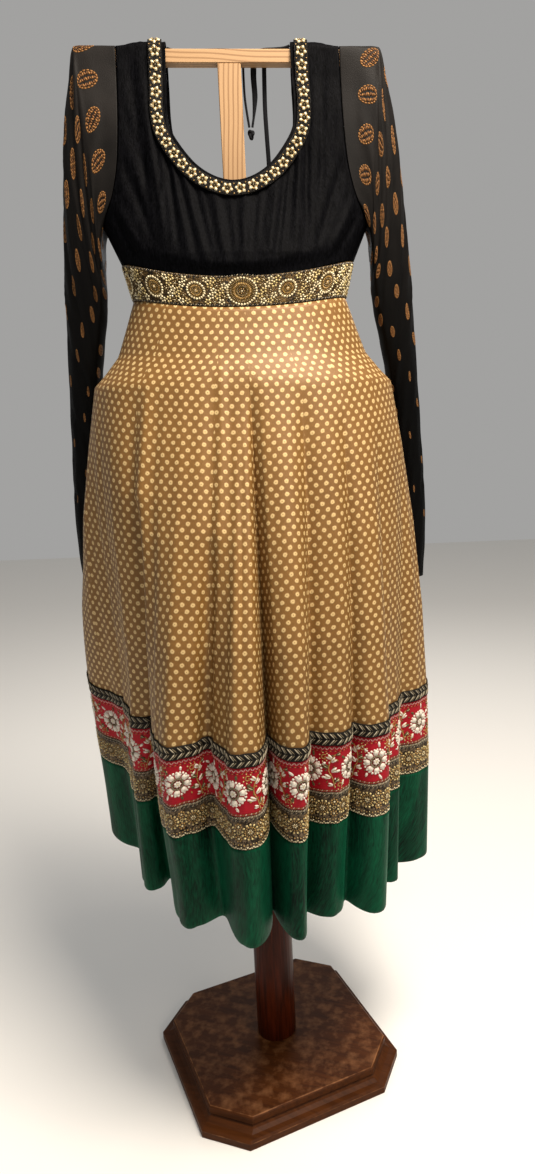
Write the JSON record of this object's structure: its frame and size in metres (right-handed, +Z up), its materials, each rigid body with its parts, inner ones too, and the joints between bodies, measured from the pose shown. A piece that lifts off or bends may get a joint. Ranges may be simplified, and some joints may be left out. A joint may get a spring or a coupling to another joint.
{
  "type": "anarkali gown on a wooden display stand",
  "caption": "Full-length anarkali gown with a black bodice, gold brocade skirt and velvet hem, on a limbless wooden stand with shoulder and hip bars.",
  "frame": {"origin": "middle of the stand's underside, on the floor", "axes": "+Z up, -Y towards the gown's front, -X towards the wearer's right arm"},
  "size_m": [0.598, 0.5231, 1.6552],
  "materials": {
    "dark_stained_wood": "dark stain under satin lacquer, scuffed edges",
    "pine": "planed, unfinished",
    "black_crinkle": "crinkled crepe, matt",
    "bead_trim": "pale gold glass beads sewn on black",
    "black_sheer": "fine semi-sheer silk with woven bronze motifs",
    "bronze_embroidery": "dense bead and metal thread work",
    "gold_brocade": "gold silk with small woven cream dots",
    "chevron_braid": "black and cream corded braid",
    "red_embroidered": "red ground with thread and bead flowers",
    "green_velvet": "crushed pile velvet",
    "black_cord": "rolled fabric cord, matt"
  },
  "bodies": {
    "root": {"base_plinth": "dark_stained_wood", "base_top": "dark_stained_wood", "pole": "dark_stained_wood", "post": "pine", "shoulder_bar": "pine", "hip_bar": "pine", "hip_hoop": "pine", "bodice_front": "black_crinkle", "bodice_back": "black_crinkle", "neck_trim": "bead_trim", "sleeve_right": "black_sheer", "sleeve_left": "black_sheer", "waistband_front": "bronze_embroidery", "waistband_back": "bronze_embroidery", "skirt_front": "gold_brocade", "skirt_back": "gold_brocade", "braid_front": "chevron_braid", "braid_back": "chevron_braid", "floral_border_front": "red_embroidered", "floral_border_back": "red_embroidered", "gold_border_front": "bronze_embroidery", "gold_border_back": "bronze_embroidery", "velvet_hem_front": "green_velvet", "velvet_hem_back": "green_velvet", "dori_right": "black_cord", "dori_left": "black_cord", "dori_tail": "black_cord", "dori_knot": "black_cord", "dori_tail_knot": "black_cord"}
  },
  "joints": []
}
